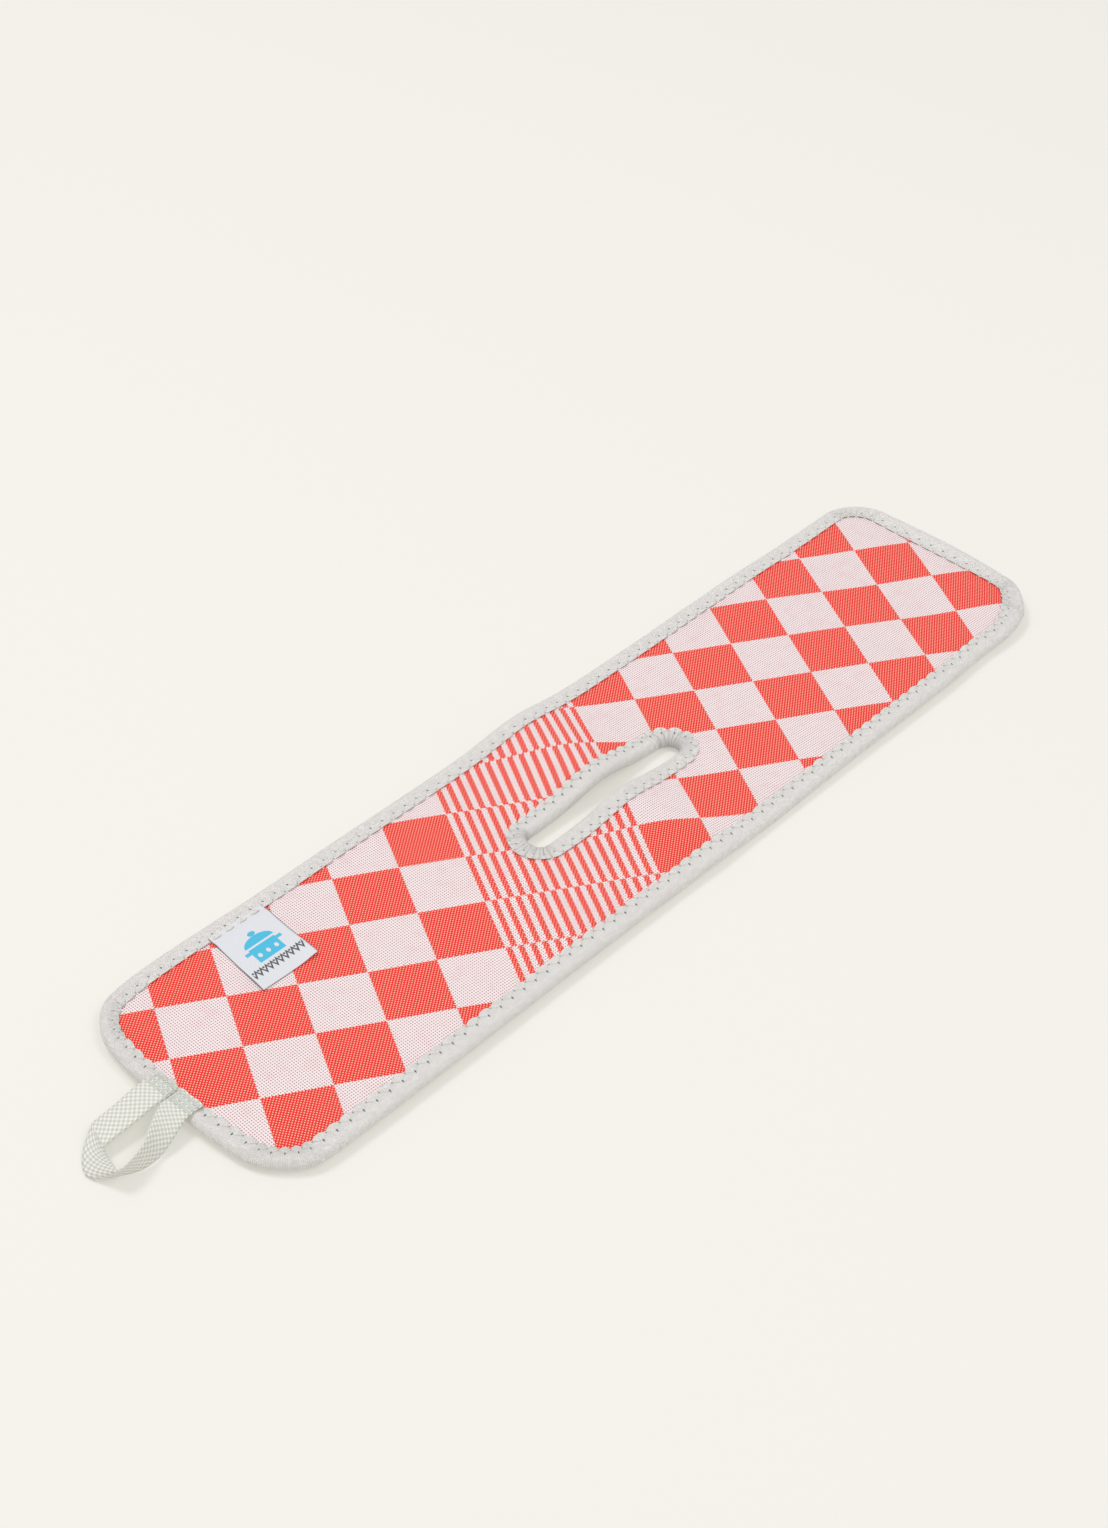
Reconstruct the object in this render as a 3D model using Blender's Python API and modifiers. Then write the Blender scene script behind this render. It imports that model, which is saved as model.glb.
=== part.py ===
"""Padded pan gripper: a long flat strip with a slot for the knob of a lid.

Two check cloths over a foam core, bound round the outside and round the slot with ribbed tape,
a webbing loop at the left end and a woven label on the left half. The origin is at the bottom
centre of the whole object, +X runs along the strip away from the loop and +Z is up.
"""

import math

import bmesh
import bpy
from mathutils import Vector

# Driving dimensions, in metres.
STRIP_LENGTH = 0.600
STRIP_WIDTH = 0.140
STRIP_CORNER_RADIUS = 0.024
CORNER_STEPS = 8

SLOT_LENGTH = 0.113
SLOT_WIDTH = 0.0125
SLOT_OFFSET = -0.006

LOOP_REACH = 0.0521
STRIP_CENTRE_X = LOOP_REACH / 2
SLOT_CENTRE_X = STRIP_CENTRE_X + SLOT_OFFSET
LEFT_END_X = STRIP_CENTRE_X - STRIP_LENGTH / 2

TAPE_WIDTH = 0.0108
TAPE_THICKNESS = 0.0008
SLOT_TAPE_WIDTH = 0.0098
EDGE_ROUNDING = 0.002

CLOTH_THICKNESS = 0.0007
CORE_THICKNESS = 0.0028
THREAD_THICKNESS = 0.0003
STITCH_WIDTH = 0.0032
STITCH_INSET = 0.0003
CLEARANCE = 0.0003

WEBBING_THICKNESS = 0.0012
LOOP_SEWN_LENGTH = 0.0080
FAR_LEG_EDGES = (0.0019, 0.0163)
NEAR_LEG_EDGES = (-0.0127, 0.0013)
TACK_MARGIN = 0.0016

LABEL_WIDTH = 0.0365
LABEL_LENGTH = 0.0385
LABEL_LEFT_X = STRIP_CENTRE_X - 0.2245
LABEL_SLANT = -0.0040
LABEL_THICKNESS = 0.0004

FOLD_DISTANCE = 0.105
FOLD_GAP = 0.0003

# Heights of the layers, each a clearance above the one below.
BOTTOM_CLOTH_Z = TAPE_THICKNESS + CLEARANCE
CORE_Z = BOTTOM_CLOTH_Z + CLOTH_THICKNESS + CLEARANCE
TOP_CLOTH_Z = CORE_Z + CORE_THICKNESS + CLEARANCE
TOP_TAPE_Z = TOP_CLOTH_Z + CLOTH_THICKNESS + CLEARANCE
STRIP_TOP_Z = TOP_TAPE_Z + TAPE_THICKNESS
STITCH_Z = STRIP_TOP_Z + CLEARANCE
LABEL_Z = TOP_CLOTH_Z + CLOTH_THICKNESS + CLEARANCE

FOLD_PIVOT_Z = STITCH_Z + THREAD_THICKNESS + CLEARANCE
LOOP_PIVOT_Z = STITCH_Z + WEBBING_THICKNESS + CLEARANCE / 2
LABEL_PIVOT_Y = STRIP_WIDTH / 2 - TAPE_WIDTH - 0.0008
LABEL_PIVOT_Z = STITCH_Z

LEFT_FOLD_X = SLOT_CENTRE_X - FOLD_DISTANCE
RIGHT_FOLD_X = SLOT_CENTRE_X + FOLD_DISTANCE

# The loop's two woven edges, station by station, from the far leg round to the near leg.
# Each point is (distance past the strip's end, y, z): the edge on the floor side, then the other.
LOOP_STATIONS = [
    ((0.0007, 0.0163, 0.0079), (0.0007, 0.0019, 0.0079)),
    ((0.0090, 0.0166, 0.0062), (0.0090, 0.0022, 0.0062)),
    ((0.0200, 0.0171, 0.0032), (0.0210, 0.0027, 0.0040)),
    ((0.0300, 0.0170, 0.0010), (0.0330, 0.0028, 0.0026)),
    ((0.0365, 0.0130, 0.0008), (0.0393, 0.0003, 0.0050)),
    ((0.0450, 0.0060, 0.0008), (0.0434, -0.0060, 0.0093)),
    ((0.0503, 0.0000, 0.0008), (0.0456, -0.0100, 0.0112)),
    ((0.0516, -0.0050, 0.0008), (0.0474, -0.0142, 0.0116)),
    ((0.0490, -0.0086, 0.0008), (0.0482, -0.0170, 0.0122)),
    ((0.0440, -0.0111, 0.0008), (0.0442, -0.0188, 0.0128)),
    ((0.0380, -0.0135, 0.0008), (0.0396, -0.0195, 0.0134)),
    ((0.0280, -0.0153, 0.0009), (0.0294, -0.0152, 0.0142)),
    ((0.0180, -0.0150, 0.0014), (0.0200, -0.0090, 0.0134)),
    ((0.0090, -0.0138, 0.0040), (0.0110, -0.0032, 0.0112)),
    ((0.0035, -0.0129, 0.0066), (0.0042, 0.0008, 0.0090)),
    ((0.0007, -0.0127, 0.0079), (0.0007, 0.0013, 0.0079)),
]
LOOP_STEPS = 3


def empty_scene():
    for old in list(bpy.data.objects):
        bpy.data.objects.remove(old, do_unlink=True)


def new_collection(name):
    collection = bpy.data.collections.new(name)
    bpy.context.scene.collection.children.link(collection)
    return collection


def new_material(name, colour, roughness, sheen=0.0):
    material = bpy.data.materials.new(name)
    material.use_nodes = True
    material.diffuse_color = (*colour, 1.0)
    shader = material.node_tree.nodes["Principled BSDF"]
    shader.inputs["Base Color"].default_value = (*colour, 1.0)
    shader.inputs["Roughness"].default_value = roughness
    shader.inputs["Metallic"].default_value = 0.0
    shader.inputs["Sheen Weight"].default_value = sheen
    return material


def arc(centre, radius, start, end, steps):
    """Points along an arc, angles in degrees."""
    points = []
    for i in range(steps + 1):
        angle = math.radians(start + (end - start) * i / steps)
        points.append((centre[0] + radius * math.cos(angle), centre[1] + radius * math.sin(angle)))
    return points


def rounded_outline(centre_x, length, width, radius, steps=CORNER_STEPS):
    """A rectangle with round corners, or a slot with round ends where radius is half the width."""
    dx = length / 2 - radius
    dy = width / 2 - radius
    corners = [(dx, dy, 0), (-dx, dy, 90), (-dx, -dy, 180), (dx, -dy, 270)]
    points = []
    for x, y, angle in corners:
        for point in arc((centre_x + x, y), radius, angle, angle + 90, steps):
            if not points or math.dist(points[-1], point) > 1e-6:
                points.append(point)
    return points


def strip_outline(inset):
    """The strip's outline, moved inwards by inset."""
    return rounded_outline(
        STRIP_CENTRE_X, STRIP_LENGTH - 2 * inset, STRIP_WIDTH - 2 * inset, STRIP_CORNER_RADIUS - inset
    )


def slot_outline(outset):
    """The slot's outline, moved outwards by outset."""
    width = SLOT_WIDTH + 2 * outset
    return rounded_outline(SLOT_CENTRE_X, SLOT_LENGTH + 2 * outset, width, width / 2)


def plate_mesh(name, outlines, z_low, z_high):
    """A flat plate with these outlines; an outline inside another is a hole."""
    curve = bpy.data.curves.new(name, "CURVE")
    curve.dimensions = "2D"
    curve.fill_mode = "BOTH"
    curve.extrude = (z_high - z_low) / 2
    for outline in outlines:
        spline = curve.splines.new("POLY")
        spline.points.add(len(outline) - 1)
        for point, (x, y) in zip(spline.points, outline):
            point.co = (x, y, 0.0, 1.0)
        spline.use_cyclic_u = True
    flat = bpy.data.objects.new(name, curve)
    bpy.context.scene.collection.objects.link(flat)
    flat.location.z = (z_low + z_high) / 2
    bpy.context.view_layer.update()
    graph = bpy.context.evaluated_depsgraph_get()
    mesh = bpy.data.meshes.new_from_object(flat.evaluated_get(graph))
    mesh.transform(flat.matrix_world)
    bpy.data.objects.remove(flat)
    solid = bmesh.new()
    solid.from_mesh(mesh)
    bmesh.ops.remove_doubles(solid, verts=solid.verts, dist=1e-6)
    bmesh.ops.recalc_face_normals(solid, faces=solid.faces)
    solid.to_mesh(mesh)
    solid.free()
    mesh.name = name
    return mesh


def make_object(name, mesh, material):
    made = bpy.data.objects.new(name, mesh)
    mesh.materials.clear()
    mesh.materials.append(material)
    GRIPPER.objects.link(made)
    return made


def make_cutter(name, mesh):
    cutter = bpy.data.objects.new(name, mesh)
    cutter.hide_render = True
    cutter.display_type = "WIRE"
    CUTTERS.objects.link(cutter)
    return cutter


def box_cutter(name, low, high):
    corners = [(low[0], low[1]), (high[0], low[1]), (high[0], high[1]), (low[0], high[1])]
    return make_cutter(name, plate_mesh(name, [corners], low[2], high[2]))


def boolean(target, cutter, operation):
    modifier = target.modifiers.new(cutter.name, "BOOLEAN")
    modifier.operation = operation
    modifier.object = cutter
    modifier.solver = "EXACT"


def round_rim(mesh, radius, steps=3):
    """Rounds the top and bottom edges of a plate all the way round."""
    solid = bmesh.new()
    solid.from_mesh(mesh)
    rim = []
    for edge in solid.edges:
        if len(edge.link_faces) == 2:
            turn = edge.calc_face_angle()
            level = abs(edge.verts[0].co.z - edge.verts[1].co.z) < 1e-6
            if level and turn > math.radians(60):
                rim.append(edge)
    bmesh.ops.bevel(solid, geom=rim, offset=radius, segments=steps, profile=0.5, affect="EDGES")
    solid.to_mesh(mesh)
    solid.free()


def hinge_empty(name, place, parent=None):
    """An empty on a joint's axis, which carries the pieces that turn about it."""
    empty = bpy.data.objects.new(name, None)
    empty.empty_display_size = 0.01
    GRIPPER.objects.link(empty)
    if parent:
        empty.parent = parent
        empty.location = Vector(place) - parent.matrix_world.translation
    else:
        empty.location = place
    bpy.context.view_layer.update()
    return empty


def hang_on(empty, *pieces):
    for piece in pieces:
        piece.parent = empty
        piece.matrix_parent_inverse = empty.matrix_world.inverted()


def make_regions():
    """Boxes that split the continuous layers at the two fold lines."""
    far = STRIP_WIDTH
    long = STRIP_LENGTH
    low, high = -0.01, 0.02
    half_gap = FOLD_GAP / 2
    left_limit = LEFT_FOLD_X - half_gap
    right_limit = RIGHT_FOLD_X + half_gap
    middle = (LEFT_FOLD_X + half_gap, RIGHT_FOLD_X - half_gap)
    loop_low = NEAR_LEG_EDGES[0] - CLEARANCE
    loop_high = FAR_LEG_EDGES[1] + CLEARANCE
    return {
        "left": box_cutter("left_region", (-long, -far, low), (left_limit, far, high)),
        "right": box_cutter("right_region", (right_limit, -far, low), (long, far, high)),
        "centre": box_cutter("centre_region", (middle[0], -far, low), (middle[1], far, high)),
        "near": box_cutter("near_region", (middle[0], -far, low), (middle[1], 0, high)),
        "far": box_cutter("far_region", (middle[0], 0, low), (middle[1], far, high)),
        "left_near": box_cutter("left_near_region", (-long, -far, low), (left_limit, loop_low, high)),
        "left_far": box_cutter("left_far_region", (-long, loop_high, low), (left_limit, far, high)),
    }


def make_cloth_and_core(regions):
    """The two cloths and the foam between them, each in three lengths."""
    inset = TAPE_THICKNESS + CLEARANCE
    slot = make_cutter("slot_cutter", plate_mesh("slot_cutter", [slot_outline(inset)], -0.01, 0.02))
    layers = [
        ("bottom_cloth", BOTTOM_CLOTH_Z, CLOTH_THICKNESS, CLOTH),
        ("foam_core", CORE_Z, CORE_THICKNESS, FOAM),
        ("top_cloth", TOP_CLOTH_Z, CLOTH_THICKNESS, CLOTH),
    ]
    pieces = {"left": [], "centre": [], "right": []}
    for layer, z, thickness, material in layers:
        for side in pieces:
            name = f"{layer}_{side}"
            piece = make_object(name, plate_mesh(name, [strip_outline(inset)], z, z + thickness), material)
            boolean(piece, regions[side], "INTERSECT")
            if side == "centre":
                boolean(piece, slot, "DIFFERENCE")
            pieces[side].append(piece)
    return pieces


def make_edge_binding(regions):
    """The tape folded round the outer edge: a channel open towards the middle of the strip."""
    window = make_cutter(
        "binding_window", plate_mesh("binding_window", [strip_outline(TAPE_WIDTH)], -0.01, 0.02)
    )
    channel = make_cutter(
        "binding_channel",
        plate_mesh("binding_channel", [strip_outline(TAPE_THICKNESS)], TAPE_THICKNESS, TOP_TAPE_Z),
    )
    pieces = {}
    for side in ("left", "right", "near", "far"):
        name = f"edge_binding_{side}"
        mesh = plate_mesh(name, [strip_outline(0.0)], 0.0, STRIP_TOP_Z)
        round_rim(mesh, EDGE_ROUNDING)
        piece = make_object(name, mesh, TAPE)
        boolean(piece, regions[side], "INTERSECT")
        boolean(piece, window, "DIFFERENCE")
        boolean(piece, channel, "DIFFERENCE")
        pieces[side] = piece
    return pieces


def make_slot_binding():
    """The tape folded round the slot's edge: a ring whose channel opens away from the slot."""
    mesh = plate_mesh("slot_binding", [slot_outline(SLOT_TAPE_WIDTH), slot_outline(0.0)], 0.0, STRIP_TOP_Z)
    piece = make_object("slot_binding", mesh, TAPE)
    outer = slot_outline(SLOT_TAPE_WIDTH + 0.01)
    channel = make_cutter(
        "slot_channel",
        plate_mesh("slot_channel", [outer, slot_outline(TAPE_THICKNESS)], TAPE_THICKNESS, TOP_TAPE_Z),
    )
    boolean(piece, channel, "DIFFERENCE")
    return piece


def make_stitch_bands(regions):
    """The zigzag thread along the inner edge of each tape, as a thin band over the tape."""
    outer = strip_outline(TAPE_WIDTH - STITCH_INSET - STITCH_WIDTH)
    inner = strip_outline(TAPE_WIDTH - STITCH_INSET)
    pieces = {}
    for side in ("left_near", "left_far", "right", "near", "far"):
        name = f"edge_stitches_{side}"
        mesh = plate_mesh(name, [outer, inner], STITCH_Z, STITCH_Z + THREAD_THICKNESS)
        piece = make_object(name, mesh, THREAD)
        boolean(piece, regions[side], "INTERSECT")
        pieces[side] = piece
    outer = slot_outline(SLOT_TAPE_WIDTH - STITCH_INSET)
    inner = slot_outline(SLOT_TAPE_WIDTH - STITCH_INSET - STITCH_WIDTH)
    mesh = plate_mesh("slot_stitches", [outer, inner], STITCH_Z, STITCH_Z + THREAD_THICKNESS)
    pieces["slot"] = make_object("slot_stitches", mesh, THREAD)
    return pieces


def rectangle(x_low, x_high, y_low, y_high):
    return [(x_low, y_low), (x_high, y_low), (x_high, y_high), (x_low, y_high)]


def make_loop_ends():
    """The two ends of the webbing, sewn side by side on the tape at the left end."""
    x_low = LEFT_END_X - CLEARANCE
    x_high = LEFT_END_X + LOOP_SEWN_LENGTH
    top = STITCH_Z + WEBBING_THICKNESS
    pieces = []
    for name, edges in (("loop_end_far", FAR_LEG_EDGES), ("loop_end_near", NEAR_LEG_EDGES)):
        mesh = plate_mesh(name, [rectangle(x_low, x_high, *edges)], STITCH_Z, top)
        pieces.append(make_object(name, mesh, WEBBING))
    outer = rectangle(
        x_low + TACK_MARGIN, x_high - TACK_MARGIN, FAR_LEG_EDGES[0] + TACK_MARGIN, FAR_LEG_EDGES[1] - TACK_MARGIN
    )
    thread_z = top + CLEARANCE
    mesh = plate_mesh("loop_tack_stitches", [outer], thread_z, thread_z + THREAD_THICKNESS)
    pieces.append(make_object("loop_tack_stitches", mesh, THREAD))
    return pieces


def smooth_between(points, i, t):
    """A point on the smooth curve through points, a share t of the way from point i to the next."""
    before = points[max(i - 1, 0)]
    here = points[i]
    after = points[i + 1]
    beyond = points[min(i + 2, len(points) - 1)]
    return 0.5 * (
        2 * here
        + (after - before) * t
        + (2 * before - 5 * here + 4 * after - beyond) * t**2
        + (3 * here - before - 3 * after + beyond) * t**3
    )


def make_hanging_loop():
    """The free part of the webbing: a ribbon lofted between its two woven edges."""
    edges = [[Vector((LEFT_END_X - out, y, z)) for out, y, z in side] for side in zip(*LOOP_STATIONS)]
    spans = len(LOOP_STATIONS) - 1
    places = [(i, step / LOOP_STEPS) for i in range(spans) for step in range(LOOP_STEPS)]
    places.append((spans - 1, 1.0))
    ribbon = bmesh.new()
    rows = [[ribbon.verts.new(smooth_between(edge, i, t)) for edge in edges] for i, t in places]
    for (low_a, high_a), (low_b, high_b) in zip(rows, rows[1:]):
        ribbon.faces.new((low_a, low_b, high_b, high_a))
    mesh = bpy.data.meshes.new("hanging_loop")
    ribbon.to_mesh(mesh)
    ribbon.free()
    loop = make_object("hanging_loop", mesh, WEBBING)
    thick = loop.modifiers.new("webbing_thickness", "SOLIDIFY")
    thick.thickness = WEBBING_THICKNESS
    thick.offset = 0.0
    mesh.shade_smooth()
    return loop


def make_label():
    """The woven label, which hangs from the inner edge of the far tape."""
    top_y = LABEL_PIVOT_Y + 0.0005
    low_y = top_y - LABEL_LENGTH
    left = LABEL_LEFT_X
    right = LABEL_LEFT_X + LABEL_WIDTH
    outline = [(left, top_y), (left + LABEL_SLANT, low_y), (right + LABEL_SLANT, low_y), (right, top_y)]
    mesh = plate_mesh("woven_label", [outline], LABEL_Z, LABEL_Z + LABEL_THICKNESS)
    return make_object("woven_label", mesh, LABEL)


empty_scene()
GRIPPER = new_collection("pan_gripper")
CUTTERS = new_collection("cutters")
CLOTH = new_material("check_cloth", (0.80, 0.22, 0.19), 0.85, sheen=0.2)
FOAM = new_material("foam", (0.16, 0.16, 0.17), 0.9)
TAPE = new_material("binding_tape", (0.66, 0.66, 0.64), 0.5)
THREAD = new_material("thread", (0.62, 0.62, 0.58), 0.6)
WEBBING = new_material("webbing", (0.56, 0.58, 0.50), 0.6)
LABEL = new_material("label_satin", (0.82, 0.83, 0.88), 0.4)

REGIONS = make_regions()
LAYERS = make_cloth_and_core(REGIONS)
BINDING = make_edge_binding(REGIONS)
make_slot_binding()
STITCHES = make_stitch_bands(REGIONS)
LOOP_ENDS = make_loop_ends()

LEFT_FOLD = hinge_empty("left_fold_axis", (LEFT_FOLD_X, 0, FOLD_PIVOT_Z))
RIGHT_FOLD = hinge_empty("right_fold_axis", (RIGHT_FOLD_X, 0, FOLD_PIVOT_Z))
LOOP_HINGE = hinge_empty("loop_swing_axis", (LEFT_END_X - CLEARANCE * 1.5, 0, LOOP_PIVOT_Z), LEFT_FOLD)
LABEL_HINGE = hinge_empty("label_lift_axis", (LABEL_LEFT_X, LABEL_PIVOT_Y, LABEL_PIVOT_Z), LEFT_FOLD)

hang_on(LEFT_FOLD, *LAYERS["left"], BINDING["left"], *LOOP_ENDS)
hang_on(LEFT_FOLD, STITCHES["left_near"], STITCHES["left_far"])
hang_on(RIGHT_FOLD, *LAYERS["right"], BINDING["right"], STITCHES["right"])
hang_on(LOOP_HINGE, make_hanging_loop())
hang_on(LABEL_HINGE, make_label())
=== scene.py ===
"""The looks of the padded pan gripper: check cloth over foam, ribbed tape with zigzag stitching,
a webbing loop and a woven label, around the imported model's frame."""

import math

import bpy
import numpy as np
from mathutils import Matrix, Vector
from mathutils.geometry import delaunay_2d_cdt


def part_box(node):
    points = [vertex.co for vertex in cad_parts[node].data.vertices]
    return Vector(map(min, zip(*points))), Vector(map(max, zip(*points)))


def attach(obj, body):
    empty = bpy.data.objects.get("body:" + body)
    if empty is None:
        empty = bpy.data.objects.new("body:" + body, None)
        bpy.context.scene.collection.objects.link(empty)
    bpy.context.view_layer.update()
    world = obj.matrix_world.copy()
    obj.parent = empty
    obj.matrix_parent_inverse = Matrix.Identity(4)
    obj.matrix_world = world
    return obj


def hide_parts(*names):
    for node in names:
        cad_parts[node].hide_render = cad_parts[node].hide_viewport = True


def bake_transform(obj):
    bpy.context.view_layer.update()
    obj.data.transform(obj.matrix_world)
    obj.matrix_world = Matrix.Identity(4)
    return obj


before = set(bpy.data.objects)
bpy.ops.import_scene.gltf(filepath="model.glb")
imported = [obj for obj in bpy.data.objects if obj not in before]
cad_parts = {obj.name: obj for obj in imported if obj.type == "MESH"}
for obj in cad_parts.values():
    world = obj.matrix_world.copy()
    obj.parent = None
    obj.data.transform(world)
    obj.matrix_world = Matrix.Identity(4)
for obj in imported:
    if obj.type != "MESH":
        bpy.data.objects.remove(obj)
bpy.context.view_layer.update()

MM = 0.001

# Places read from the frame, in metres.
LEFT_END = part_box("edge_binding_left")[0].x
RIGHT_END, HALF_WIDTH, STRIP_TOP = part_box("edge_binding_right")[1]
CENTRE_X = (LEFT_END + RIGHT_END) / 2
SLOT_LOW, SLOT_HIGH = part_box("slot_binding")
SPLIT_X = (SLOT_LOW.x + SLOT_HIGH.x) / 2
LABEL_LOW, LABEL_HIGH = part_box("woven_label")

# The strip's outline and its tape. The slot's own opening is SLOT_WIDTH wide.
CORNER_RADIUS = 0.024
TAPE_WIDTH = 0.0101
SLOT_WIDTH = 0.0125
SLOT_TAPE_WIDTH = (SLOT_HIGH.y - SLOT_LOW.y - SLOT_WIDTH) / 2
SLOT_HALF_WIDTH = (SLOT_HIGH.y - SLOT_LOW.y) / 2 - SLOT_TAPE_WIDTH
SLOT_HALF_STRAIGHT = (SLOT_HIGH.x - SLOT_LOW.x) / 2 - SLOT_TAPE_WIDTH - SLOT_HALF_WIDTH
END_HALF_STRAIGHT = HALF_WIDTH - CORNER_RADIUS
CORNER_RUN = CORNER_RADIUS * math.pi / 2

# The zigzag seam: how deep it is, and the stitches along each half of the outer edge and round the slot.
STITCH_DEPTH = 0.0040
EDGE_STITCHES = 87
SLOT_STITCHES = 42

# The folds gathered into the slot's tape at its ends: how many, and how unevenly they are spaced.
FOLDS_PER_STITCH = 1.9
FOLD_SWING = (0.22, 2.9)

# How the strip lies, in millimetres above its rest plane: (place along it, near edge, far edge).
LIE = [
    (-310, 1.9, 2.4), (-240, 2.1, 1.6), (-180, 2.2, 0.7), (-120, 1.9, 1.7), (-60, 1.5, 1.5),
    (0, 0.3, 1.4), (45, 0.0, 1.0), (100, 0.8, 1.0), (150, 1.3, 1.9), (185, 1.6, 2.3),
    (235, 1.3, 1.4), (275, 2.9, 1.9), (310, 3.9, 2.4),
]
# A soft hump across the middle, beside the slot, in millimetres:
# (place across, height, place of its top along the strip, width).
HUMP = [(-70, 1.5, -4, 15), (-15, 5.0, -3, 16), (15, 5.6, 2, 17), (70, 4.2, 3, 20)]

# Where sewing has drawn the outline out or in, in millimetres from the strip's centre:
# (place along, place across, reach along, reach across, pull along, pull across).
PULLS = [
    (-302, -30, 40, 34, -2.0, 0.0),
    (-288, 4, 9, 34, -1.6, 0.0),
    (-301, -68, 14, 15, 3.0, 3.0),
    (-300, 66, 20, 22, 5.4, -5.4),
    (-200, -74, 60, 8, 0.0, -0.9),
    (26, -74, 40, 8, 0.0, -0.9),
    (232, -64, 16, 14, 0.0, 1.6),
    (300, -70, 20, 20, -4.4, 6.0),
    (278, -54, 10, 9, -2.4, 6.0),
    (300, -36, 12, 20, -1.8, 0.8),
    (286, 4, 7, 48, -3.8, 0.0),
    (303, 4, 6, 34, 1.8, 0.0),
    (0, 66, 700, 14, 0.0, 1.0),
    (-230, 68, 60, 14, 0.0, 0.8),
    (-6, 17, 42, 7, 0.0, 0.9),
    (-6, -10, 75, 7, 0.0, 2.4),
    (42, -16, 16, 6, 0.0, 1.0),
    (-62, -15, 10, 6, 0.0, 0.8),
    (61, 0, 11, 13, 1.8, 0.0),
    (-66, 0, 6, 9, 2.4, 0.0),
]

# The strip's middle plane above its rest plane, how far the cloth's face stands from it beside a seam
# and away from one, and the cloth's thickness.
MIDDLE_Z = 0.0035
CLOTH_SEAM_RISE = 0.0021
CLOTH_CROWN_RISE = 0.0027
CLOTH_THICKNESS = 0.0005


def smoothstep(t):
    t = np.clip(t, 0.0, 1.0)
    return t * t * (3 - 2 * t)


def eased(x, table, column):
    """A column of a short table read at x, with level passages at the table's own places."""
    places = np.array([row[0] for row in table], float) * MM
    values = np.array([row[column] for row in table]) * MM
    i = np.clip(np.searchsorted(places, x) - 1, 0, len(places) - 2)
    share = smoothstep((x - places[i]) / (places[i + 1] - places[i]))
    return values[i] + (values[i + 1] - values[i]) * share


def lift(x, y):
    """How far the strip stands off its rest plane at a point."""
    along = x - CENTRE_X
    far_share = np.clip(0.5 + 0.5 * y / HALF_WIDTH, 0, 1)
    lie = eased(along, LIE, 1) * (1 - far_share) + eased(along, LIE, 2) * far_share
    height, top, width = (eased(y, HUMP, column) for column in (1, 2, 3))
    return lie + height * np.exp(-(((along - top) / width) ** 2) / 2)


def settle(x, y):
    """Where a point of the true outline comes to lie once the strip is sewn."""
    along, across = (x - CENTRE_X) / MM, y / MM
    new_x, new_y = x, y
    for place_x, place_y, reach_x, reach_y, pull_x, pull_y in PULLS:
        near = np.exp(-(((along - place_x) / reach_x) ** 2 + ((across - place_y) / reach_y) ** 2) / 2)
        new_x = new_x + pull_x * MM * near
        new_y = new_y + pull_y * MM * near
    return new_x, new_y


class Band:
    """A run of binding tape: its width, where its outer row of needle holes is, the pitch of its
    stitches and its ribs to each stitch."""

    def __init__(self, width, pitch, ribs):
        self.width = width
        self.row = width - STITCH_DEPTH
        self.pitch = pitch
        self.ribs = ribs


EDGE = Band(TAPE_WIDTH, 0.0082, 8)
SLOT = Band(SLOT_TAPE_WIDTH, 0.0069, 7)

# The slot's stitches are spaced evenly along a ring through the middle of its zigzag.
SLOT_SEAM_RADIUS = SLOT_HALF_WIDTH + SLOT.row + STITCH_DEPTH / 2
SLOT_HALF_RING = 2 * SLOT_HALF_STRAIGHT + math.pi * SLOT_SEAM_RADIUS


# ---- Coordinates along the strip's outer edge and along the slot's edge ----


def side_of(x):
    return np.where(x < SPLIT_X, -1.0, 1.0)


def half_reach(side):
    """How far the strip's end is from the split."""
    return np.where(side < 0, SPLIT_X - LEFT_END, RIGHT_END - SPLIT_X)


def straight_length(side):
    """The length of a half's straight long edge, from the split to its corner."""
    return half_reach(side) - CORNER_RADIUS


def half_length(side):
    """The length of a half's outer edge, from the split round the end and back to it."""
    return 2 * straight_length(side) + math.pi * CORNER_RADIUS + 2 * END_HALF_STRAIGHT


def edge_coordinates(x, y):
    """(distance in from the outer edge, stitch number) at a point. Stitches count from the near split."""
    side = side_of(x)
    straight = straight_length(side)
    out = np.abs(x - SPLIT_X) - straight
    across = np.abs(y) - END_HALF_STRAIGHT
    corner = (out > 0) & (across > 0)
    inset = CORNER_RADIUS - np.where(corner, np.hypot(out, across), np.maximum(out, across))
    turn = np.arctan2(np.maximum(out, 0), np.maximum(across, 1e-9))
    along_edge = np.clip(np.abs(x - SPLIT_X), 0, straight) + CORNER_RADIUS * np.where(corner, turn, 0)
    on_end = out > np.maximum(across, 0)
    end_run = straight + CORNER_RUN + END_HALF_STRAIGHT + np.clip(y, -END_HALF_STRAIGHT, END_HALF_STRAIGHT)
    run = np.where(y < 0, along_edge, half_length(side) - along_edge)
    run = np.where(on_end & ~corner, end_run, run)
    return inset, run / half_length(side) * EDGE_STITCHES


def slot_ring_length(outset):
    return 4 * SLOT_HALF_STRAIGHT + 2 * math.pi * (SLOT_HALF_WIDTH + outset)


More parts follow.
